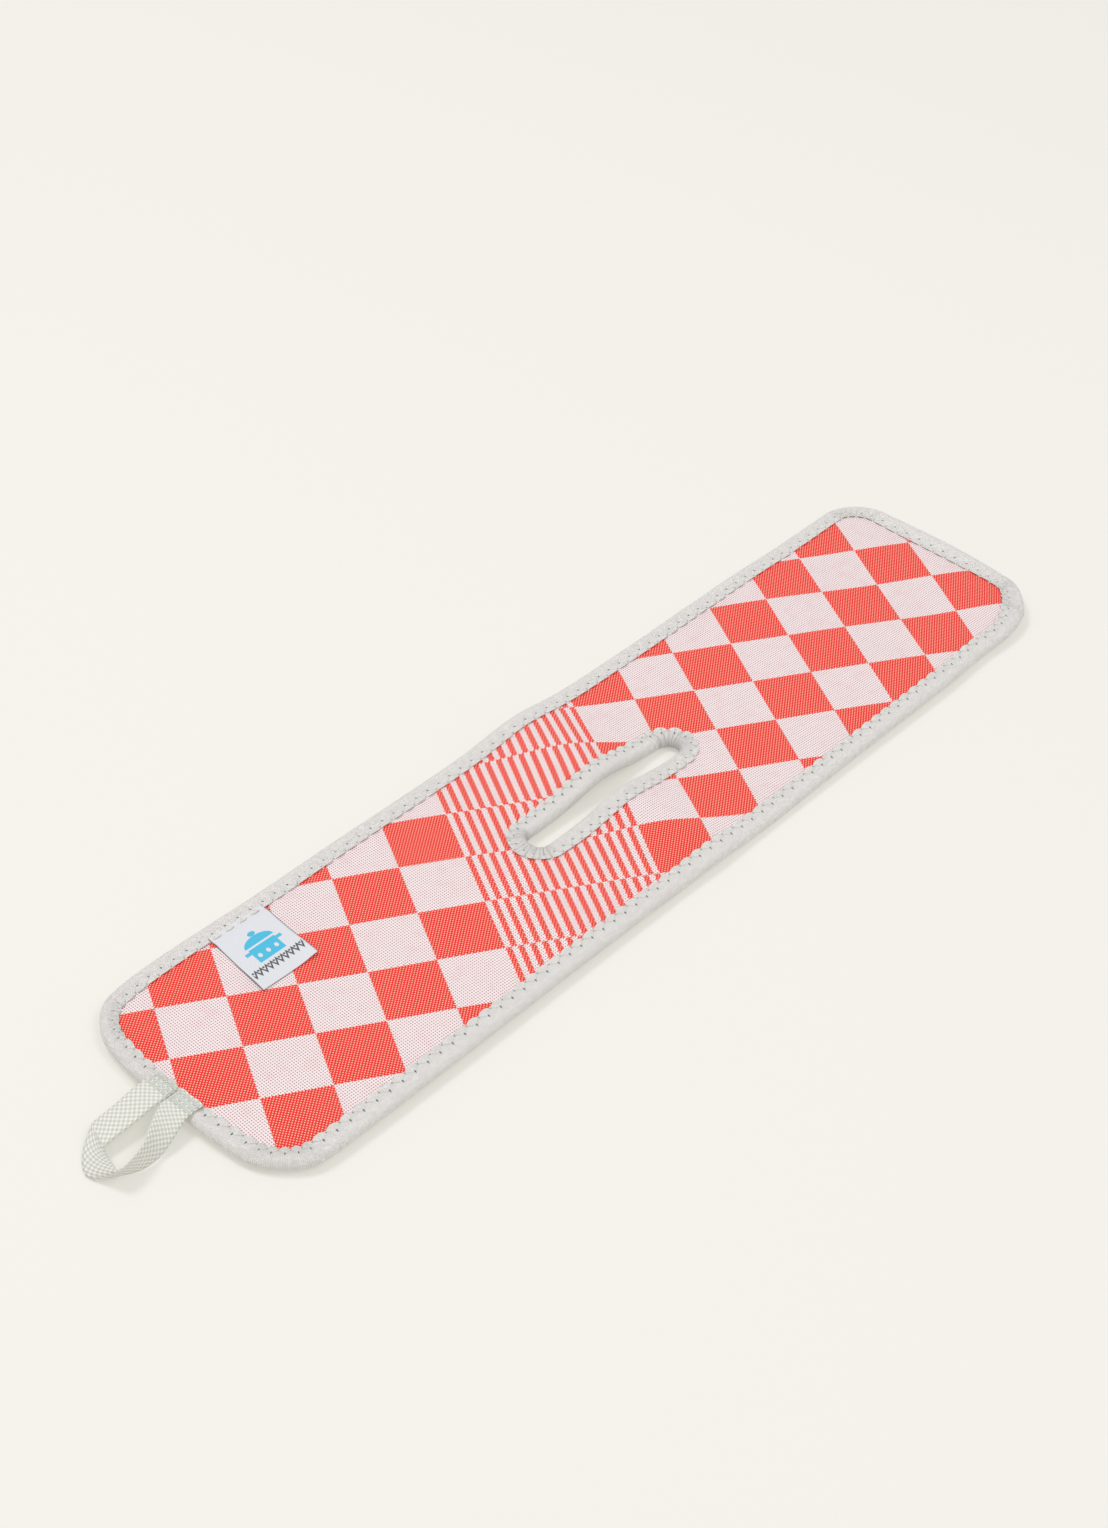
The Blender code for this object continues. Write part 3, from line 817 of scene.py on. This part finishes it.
def slot_gather(phase, outset, height):
    """The slot's tape is gathered in folds where it turns round the slot's left end and the far side
    of its right end."""
    x, y = slot_place(phase, 0 * outset)
    turned = (np.abs(x - SPLIT_X) - SLOT_HALF_STRAIGHT + GATHER_LEAD) / GATHER_EASE
    far_only = np.where(x < SPLIT_X, 1.0, smoothstep(y / (5 * MM) + 0.6))
    strength = GATHER_DEPTH * smoothstep(turned) * far_only
    turn = phase * FOLDS_PER_STITCH + FOLD_SWING[0] * np.sin(phase * FOLD_SWING[1])
    crease = np.abs(np.sin(math.pi * turn))
    small = np.abs(np.sin(math.pi * phase * 3.7 + 1.3))
    folds = 1.7 * crease**0.5 - 1.15 + 0.35 * small**0.6 - 0.22
    drawn = strength * folds * np.exp(-(((outset - GATHER_MIDDLE) / GATHER_REACH) ** 2))
    return height + drawn * np.where(height > MIDDLE_Z, 1.0, -0.3), outset + 0.5 * drawn


def fold_blend(piece):
    """Bakes a half's placement into its mesh; the half is not bent."""
    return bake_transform(piece)


TAPE_STATION = 0.0007
SLOT_TAPE_STATION = 0.0004


def make_edge_tape(side, name):
    stations = int(float(half_length(side)) / TAPE_STATION)
    phase = np.linspace(0, EDGE_STITCHES, stations)
    rings, across = tape_rings(outer_place(side), phase, EDGE)
    return sweep(name, rings, grid_uvs(phase, across), False, EDGE_TAPE)


def make_slot_tape():
    stations = int(slot_ring_length(SLOT_TAPE_WIDTH) / SLOT_TAPE_STATION)
    phase = np.linspace(0, SLOT_STITCHES, stations + 1)
    rings, across = tape_rings(slot_place, phase[:-1], SLOT, slot_gather)
    return sweep("slot_tape", rings, grid_uvs(phase, across), True, SLOT_TAPE)


THREAD_RADIUS = 0.00026
LEG_STEPS = 8


def zigzag_paths(place, stitches, band, gather=None):
    """The zigzag thread on the top and on the underside, each one long path."""
    share = np.arange(LEG_STEPS) / LEG_STEPS
    phase, inset, arch = [], [], []
    for half_stitch in range(2 * stitches):
        across = share if half_stitch % 2 else 1 - share
        phase.append((half_stitch + share) / 2)
        inset.append(band.row + (STITCH_DEPTH + 0.25 * MM) * across)
        arch.append(np.sin(math.pi * share) ** 0.4)
    phase, inset, arch = (np.concatenate(part) for part in (phase, inset, arch))
    over = tape_top(phase, np.minimum(inset, band.width), band) + (0.42 * arch - 0.26) * MM
    if gather is not None:
        over, inset = gather(phase, inset, over)
    x, y = settle(*place(phase, inset))
    base = lift(x, y)
    under = (0.62 - 0.30 * arch) * MM
    return [np.column_stack([x, y, base + over]), np.column_stack([x, y, base + under])]


def make_edge_zigzag(side, name):
    return tube(name, zigzag_paths(outer_place(side), EDGE_STITCHES, EDGE), THREAD_RADIUS, THREAD)


def make_slot_zigzag():
    paths = zigzag_paths(slot_place, SLOT_STITCHES, SLOT, slot_gather)
    return tube("slot_zigzag", paths, THREAD_RADIUS, THREAD)


# ---- Cloth and foam ----

CLOTH_INSET = 0.0062
CLOTH_OUTSET = 0.0050
CLOTH_STEP = 0.0021

# The cloth rises out of a seam from RISE_START past the tape's edge, later beside a needle hole.
RISE_START = -0.6 * MM
RISE_REACH = 4.2 * MM
HOLE_SETBACK = 1.1 * MM
HOLE_SPREAD = 2.2 * MM

# The foam: how far in its edge is, and its half thickness there and what that gains over a rim.
FOAM_INSET = 0.0018
FOAM_STEP = 0.004
FOAM_RIM_HALF = 0.0008
FOAM_RIM_GAIN = 0.0005
FOAM_RIM_WIDTH = 0.004

# How near the outline the grid of points that fills it comes, in steps.
GRID_CLEARANCE = 0.55


def cloth_rise(x, y):
    """How far the cloth's face stands from the strip's middle plane."""
    inset, phase = edge_coordinates(x, y)
    outset, slot_phase = slot_coordinates(x, y)
    shares = []
    for place, number, band in ((inset, phase, EDGE), (outset, slot_phase, SLOT)):
        to_pin = np.abs(number - np.round(number))
        near_pin = np.exp(-((to_pin * band.pitch / HOLE_SPREAD) ** 2))
        start = band.width + RISE_START + HOLE_SETBACK * near_pin
        shares.append(1 - np.exp(-np.maximum(place - start, 0) / RISE_REACH))
    return CLOTH_SEAM_RISE + (CLOTH_CROWN_RISE - CLOTH_SEAM_RISE) * shares[0] * shares[1]


def outline_points(side, inset, outset, step):
    """Round one half of the cloth: its outer edge, the split and half of the slot."""
    place = outer_place(side)
    outer_phase = np.linspace(0, EDGE_STITCHES, int(float(half_length(side)) / step))
    outer = np.column_stack(place(outer_phase, np.full_like(outer_phase, inset)))
    top, bottom = HALF_WIDTH - inset, SLOT_HALF_WIDTH + outset
    down = np.linspace(top, bottom, int((top - bottom) / step) + 1)[1:-1]
    seam = np.column_stack([np.full_like(down, SPLIT_X), down])
    slot_phase = np.linspace(SLOT_STITCHES / 2, 0, int(slot_ring_length(outset) / 2 / step))
    if side > 0:
        slot_phase = SLOT_STITCHES - slot_phase
    slot = np.column_stack(slot_place(slot_phase, np.full_like(slot_phase, outset)))
    return np.vstack([outer, seam, slot, seam[::-1] * [1, -1]])


def inside_outline(points, inset, outset):
    """Which plan points are farther in from the outer edge, and out from the slot, than this."""
    x, y = points.T
    return (edge_coordinates(x, y)[0] > inset) & (slot_coordinates(x, y)[0] > outset)


def fill_half(side, inset, outset, step):
    """Points and triangles that fill one half of the strip, in plan."""
    loop = outline_points(side, inset, outset, step)
    xs = np.arange(step, half_reach(side), step) * side + SPLIT_X
    ys = np.arange(-HALF_WIDTH, HALF_WIDTH, step)
    grid = np.array([(x, y + (i % 2) * step / 2) for i, x in enumerate(xs) for y in ys])
    clear = GRID_CLEARANCE * step
    points = np.vstack([loop, grid[inside_outline(grid, inset + clear, outset + clear)]])
    edges = [(i, (i + 1) % len(loop)) for i in range(len(loop))]
    made = delaunay_2d_cdt([Vector(p) for p in points], edges, [], 0, 1e-7)
    flat = np.array([tuple(p) for p in made[0]])
    triangles = np.array(made[2])
    middle = flat[triangles].mean(axis=1)
    in_half = side * (middle[:, 0] - SPLIT_X) > 0
    triangles = triangles[inside_outline(middle, inset, outset) & in_half]
    a, b, c = (flat[triangles[:, k]] for k in range(3))
    turn = (b - a)[:, 0] * (c - a)[:, 1] - (b - a)[:, 1] * (c - a)[:, 0]
    triangles[turn < 0] = triangles[turn < 0][:, ::-1]
    return flat, triangles


def shell(name, flat, triangles, top_z, bottom_z, material, mirror=False):
    """A closed sheet over a plan mesh, between two heights."""
    count = len(flat)
    points = np.vstack([np.column_stack([flat, top_z]), np.column_stack([flat, bottom_z])])
    ends = np.concatenate([triangles[:, [0, 1]], triangles[:, [1, 2]], triangles[:, [2, 0]]])
    _, index, uses = np.unique(np.sort(ends, axis=1), axis=0, return_index=True, return_counts=True)
    rim = ends[index[uses == 1]]
    walls = np.column_stack([rim[:, 1], rim[:, 0], rim[:, 0] + count, rim[:, 1] + count])
    faces = triangles.tolist() + (triangles[:, ::-1] + count).tolist() + walls.tolist()
    rest = np.vstack([flat, flat]) - [CENTRE_X, 0]
    if mirror:
        rest = rest * [1, -1]
    corner = np.concatenate([triangles.ravel(), (triangles[:, ::-1] + count).ravel(), walls.ravel()])
    sharp = np.zeros(2 * count, bool)
    sharp[rim] = sharp[rim + count] = True
    return make_piece(name, points, faces, rest[corner], material, sharp)


def make_cloths(side, ends):
    """The two cloths of one half."""
    flat, triangles = fill_half(side, CLOTH_INSET, CLOTH_OUTSET, CLOTH_STEP)
    rise = cloth_rise(*flat.T)
    flat = np.column_stack(settle(*flat.T))
    base = lift(*flat.T) + MIDDLE_Z
    over, under = base + rise, base - rise
    top = shell(f"top_cloth_{ends}_half", flat, triangles, over, over - CLOTH_THICKNESS, CHECK)
    name = f"bottom_cloth_{ends}_half"
    return top, shell(name, flat, triangles, under + CLOTH_THICKNESS, under, CHECK, mirror=True)


def make_foam(side, ends):
    flat, triangles = fill_half(side, FOAM_INSET, FOAM_INSET, FOAM_STEP)
    rim = np.minimum(edge_coordinates(*flat.T)[0], slot_coordinates(*flat.T)[0]) - FOAM_INSET
    half = FOAM_RIM_HALF + FOAM_RIM_GAIN * smoothstep(rim / FOAM_RIM_WIDTH)
    flat = np.column_stack(settle(*flat.T))
    base = lift(*flat.T) + MIDDLE_Z
    return shell(f"foam_{ends}_half", flat, triangles, base + half, base - half, FOAM)


# ---- Webbing loop ----

# The loop's two woven edges, station by station, from the far sewn end round to the near one.
# Each point is (distance past the strip's end, y, z) in millimetres: the edge on the floor side,
# then the other.
LOOP_STATIONS = [
    ((-8.2, 16.3, 7.5), (-8.2, 1.9, 7.5)),
    ((-4.0, 16.3, 7.8), (-4.0, 1.9, 7.8)),
    ((0.7, 16.4, 7.7), (0.7, 2.0, 7.7)),
    ((10.0, 16.8, 7.6), (11.0, 2.4, 7.9)),
    ((20.0, 16.9, 6.6), (23.0, 2.4, 7.6)),
    ((30.0, 17.1, 5.2), (36.2, 2.3, 6.8)),
    ((31.6, 16.6, 4.9), (38.2, 1.6, 6.8)),
    ((33.6, 15.6, 4.3), (39.4, -0.6, 7.4)),
    ((41.0, 11.2, 2.2), (41.4, -4.6, 8.6)),
    ((47.0, 5.8, 0.8), (43.3, -9.0, 10.2)),
    ((50.3, 0.2, 0.8), (45.0, -12.6, 11.2)),
    ((49.8, -4.0, 0.8), (46.2, -15.2, 12.0)),
    ((46.4, -6.8, 0.8), (45.4, -16.4, 12.6)),
    ((41.4, -10.4, 0.8), (42.0, -16.6, 13.0)),
    ((33.0, -14.6, 0.8), (36.4, -15.6, 13.4)),
    ((24.6, -15.8, 1.6), (28.6, -12.8, 13.4)),
    ((17.0, -15.6, 4.2), (20.4, -7.6, 13.0)),
    ((10.0, -14.4, 6.0), (12.4, -2.6, 11.0)),
    ((3.6, -13.2, 7.2), (4.4, 0.8, 8.7)),
    ((0.2, -12.8, 7.7), (0.2, 1.3, 7.7)),
    ((-5.0, -12.7, 7.8), (-5.0, 1.3, 7.8)),
    ((-9.6, -12.7, 7.5), (-9.6, 1.3, 7.5)),
]
WEBBING_THICKNESS = 0.0011
WEBBING_COLUMNS = 12
LOOP_STEPS = 6
# How far in from the strip's end the loop follows the way the strip lies.
LOOP_HELD = 0.020


def make_loop():
    """The webbing as one ribbon with rounded woven edges, from sewn end to sewn end."""
    lines = [[(LEFT_END - out * MM, y * MM, z * MM) for out, y, z in edge] for edge in zip(*LOOP_STATIONS)]
    floor_edge, other_edge = (catmull_rom(line, LOOP_STEPS) for line in lines)
    share = np.linspace(0, 1, WEBBING_COLUMNS + 1)
    middle = floor_edge[:, None] * (1 - share)[None, :, None] + other_edge[:, None] * share[None, :, None]
    along = np.gradient(middle, axis=0)
    across = np.gradient(middle, axis=1)
    normal = np.cross(along, across)
    normal /= np.linalg.norm(normal, axis=2)[..., None]
    thick = WEBBING_THICKNESS / 2 * (1 - 0.55 * np.abs(2 * share - 1) ** 6)
    front = middle + normal * thick[None, :, None]
    back = middle - normal * thick[None, :, None]
    rings = np.concatenate([front, back[:, ::-1]], axis=1)
    held = smoothstep((rings[..., 0] - LEFT_END + LOOP_HELD) / LOOP_HELD)
    sewn_x, sewn_y = settle(rings[..., 0], rings[..., 1])
    rings[..., 2] += lift(sewn_x, rings[..., 1]) * held
    rings[..., 0] += (sewn_x - rings[..., 0]) * held
    centre = middle[:, WEBBING_COLUMNS // 2]
    run = running_length(centre) / MM
    width = np.linalg.norm(floor_edge - other_edge, axis=1).mean() / MM
    side = np.concatenate([share, share[::-1]]) * width
    return sweep("webbing_loop", rings, grid_uvs(run, side), False, WEBBING)


# The bar tacks over the loop's sewn ends: (from y, to y), how far in from the strip's end the rows
# are, and where the thread runs.
TACK_SPANS = [(-0.0122, 0.0008), (0.0024, 0.0158)]
TACK_ROWS = (0.0012, 0.0042, 0.0072)
TACK_WIDTH = 0.0024
TACK_PITCH = 0.00075
TACK_MARGIN = 0.0006
TACK_RIPPLE = 0.12 * MM
TACK_THREAD_RADIUS = 0.00027
TACK_HEIGHT = 0.0084


def make_tack():
    """Three dense zigzag bars over each sewn end of the loop, joined at their ends by straight rows."""
    paths = []
    for y_low, y_high in TACK_SPANS:
        turns = int((y_high - y_low) / TACK_PITCH)
        share = np.arange(turns + 1) / turns
        sway = np.where(np.arange(turns + 1) % 2, 1.0, -1.0) * TACK_WIDTH / 2
        fine = np.linspace(0, 1, 3 * turns + 1)
        for row in TACK_ROWS:
            x = LEFT_END + row + np.interp(fine, share, sway)
            paths.append((x, y_low + (y_high - y_low) * fine))
        for y in (y_low + TACK_MARGIN, y_high - TACK_MARGIN):
            x = LEFT_END + np.linspace(TACK_ROWS[0], TACK_ROWS[-1], 14)
            paths.append((x, np.full_like(x, y)))
    tubes = []
    for x, y in paths:
        x, y = settle(x, y)
        ripple = TACK_RIPPLE * np.cos(np.arange(len(x)) * 2 * math.pi / 3)
        tubes.append(np.column_stack([x, y, TACK_HEIGHT + lift(x, y) + ripple]))
    return tube("loop_tack", tubes, TACK_THREAD_RADIUS, THREAD)


# ---- Label ----

# How much of the label the tape hides, how far its sewn edge is moved right from the CAD's, how far
# its free edge slants left, and how much wider it is there.
LABEL_HIDDEN = 0.0035
LABEL_THICKNESS = 0.0004
LABEL_COLUMNS = 28
LABEL_WIDTH = 0.0342
LABEL_SHIFT = 0.0050
LABEL_SLANT = -0.0066
LABEL_SPREAD = 0.0012
LABEL_ROWS = 34


def make_label():
    """The satin label: a thin sheet that leaves the tape and lies on the cloth, with its free edge a
    little raised."""
    top_y = HALF_WIDTH - TAPE_WIDTH + LABEL_HIDDEN
    sewn_left = LABEL_HIGH.x + LABEL_SHIFT - LABEL_WIDTH
    a, b = np.meshgrid(np.linspace(0, 1, LABEL_COLUMNS), np.linspace(0, 1, LABEL_ROWS))
    length = top_y - LABEL_LOW.y
    width = LABEL_WIDTH + LABEL_SPREAD * b
    x = sewn_left + a * width + b * (LABEL_SLANT - LABEL_SPREAD / 2)
    y = top_y - b * length
    free = smoothstep((b - 0.2) / 0.8)
    z = lift(x, y) + MIDDLE_Z + cloth_rise(x, y) + LABEL_THICKNESS + 0.12 * MM
    z += 0.5 * MM * free**2 + 1.3 * MM * free**3 * smoothstep((a - 0.55) / 0.45) ** 2
    z += 0.22 * MM * np.sin(3.0 * b * math.pi + 1.5 * a) * free
    z += 0.5 * MM * np.exp(-(((b - 0.14) / 0.07) ** 2))
    points = np.stack([x, y, z], axis=-1)
    down = points - [0, 0, LABEL_THICKNESS]
    rows = np.concatenate([points, down[:, ::-1]], axis=1)
    uvs = np.stack([a * LABEL_WIDTH, b * length - LABEL_HIDDEN], axis=-1) / MM
    uvs = np.concatenate([uvs, uvs[:, ::-1]], axis=1)
    label = sweep("satin_label", rows, uvs, False, LABEL)
    # The edge UV places the label's painted shadow line along its sides.
    sides = label.data.uv_layers.new(name="edge")
    across = np.concatenate([a, a[:, ::-1]], axis=1).ravel()
    corners = np.empty(len(label.data.loops), np.int32)
    label.data.loops.foreach_get("vertex_index", corners)
    sides.data.foreach_set("uv", np.column_stack([across[corners], 0 * across[corners]]).ravel())
    return label


# ---- The pieces, what they ride on and what they stand for ----

SIDES = (("left", -1.0), ("right", 1.0))


def build_strip():
    for ends, side in SIDES:
        top, bottom = make_cloths(side, ends)
        foam = make_foam(side, ends)
        tape = make_edge_tape(side, f"edge_tape_{ends}_half")
        zigzag = make_edge_zigzag(side, f"edge_zigzag_{ends}_half")
        for piece, slot_name in (
            (top, "check_cloth"),
            (bottom, "check_cloth"),
            (foam, "foam"),
            (tape, "binding_tape"),
            (zigzag, "thread"),
        ):
            fold_blend(piece)
        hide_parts(f"top_cloth_{ends}", "top_cloth_centre")
        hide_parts(f"bottom_cloth_{ends}", "bottom_cloth_centre")
        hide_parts(f"foam_core_{ends}", "foam_core_centre")
        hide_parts(f"edge_binding_{ends}", "edge_binding_near", "edge_binding_far")
        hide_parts("edge_stitches_near", "edge_stitches_far")
        if ends == "left":
            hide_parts("edge_stitches_left_near", "edge_stitches_left_far")
        else:
            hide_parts("edge_stitches_right")


def build_slot():
    for piece, node, slot_name in (
        (make_slot_tape(), "slot_binding", "binding_tape"),
        (make_slot_zigzag(), "slot_stitches", "thread"),
    ):
        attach(piece, "centre")
        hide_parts(node)


def build_loop():
    loop = make_loop()
    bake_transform(loop)
    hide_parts("hanging_loop", "loop_end_far", "loop_end_near")
    tack = make_tack()
    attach(tack, "left_grip")
    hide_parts("loop_tack_stitches")


def build_label():
    label = make_label()
    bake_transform(label)
    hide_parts("woven_label")


# ---- Studio ----

CAMERA_PLACE = (-0.8790, -0.6396, 0.8959)
CAMERA_FORWARD = (0.6141, 0.4736, -0.6313)
CAMERA_UP = (0.4481, 0.4492, 0.7729)
CLOTH_PLANE_Z = 0.0085
LENS = 66.58
FLOOR_HALF_SIZE = 12.0
FLOOR_GLOW = 0.39
WORLD_COLOUR = (1.0, 0.995, 0.985, 1.0)
WORLD_STRENGTH = 0.65
# The lights, which face the origin: (name, place, size, power, colour).
LIGHTS = [
    ("key", (-0.8, 1.3, 3.1), 1.2, 34.0, (1.0, 0.99, 1.01)),
    ("fill", (0.1, -1.8, 3.2), 1.6, 24.0, (1.0, 0.99, 1.0)),
]


def make_camera():
    data = bpy.data.cameras.new("camera")
    data.lens = LENS
    data.sensor_width = 36.0
    camera = add_object("camera", data)
    back = -Vector(CAMERA_FORWARD).normalized()
    right = Vector(CAMERA_UP).cross(back).normalized()
    up = back.cross(right)
    turned = Matrix((right, up, back)).transposed().to_4x4()
    turned.translation = Vector(CAMERA_PLACE) + Vector((CENTRE_X, 0, CLOTH_PLANE_Z))
    camera.matrix_world = turned
    bpy.context.scene.camera = camera


def make_floor():
    mesh = bpy.data.meshes.new("floor")
    corners = [(x * FLOOR_HALF_SIZE, y * FLOOR_HALF_SIZE, 0) for x, y in ((-1, -1), (1, -1), (1, 1), (-1, 1))]
    mesh.from_pydata(corners, [], [(0, 1, 2, 3)])
    g = Graph("floor", roughness=0.9, specular=0.1)
    g.colour(srgb(192, 191, 187))
    g.shader.inputs["Emission Color"].default_value = srgb(243, 242, 232)
    g.shader.inputs["Emission Strength"].default_value = FLOOR_GLOW
    mesh.materials.append(g.material)
    add_object("floor", mesh)


def make_area_light(name, place, size, power, colour):
    data = bpy.data.lights.new(name, "AREA")
    data.shape = "DISK"
    data.size = size
    data.energy = power
    data.color = colour
    light = add_object(name, data)
    light.location = place
    light.rotation_euler = (-Vector(place)).to_track_quat("-Z", "Y").to_euler()


def make_studio():
    world = bpy.data.worlds.new("studio")
    world.use_nodes = True
    background = world.node_tree.nodes["Background"]
    background.inputs["Color"].default_value = WORLD_COLOUR
    background.inputs["Strength"].default_value = WORLD_STRENGTH
    bpy.context.scene.world = world
    bpy.context.scene.view_settings.view_transform = "Standard"
    for light in LIGHTS:
        make_area_light(*light)


make_camera()
build_strip()
build_slot()
build_loop()
build_label()
make_floor()
make_studio()
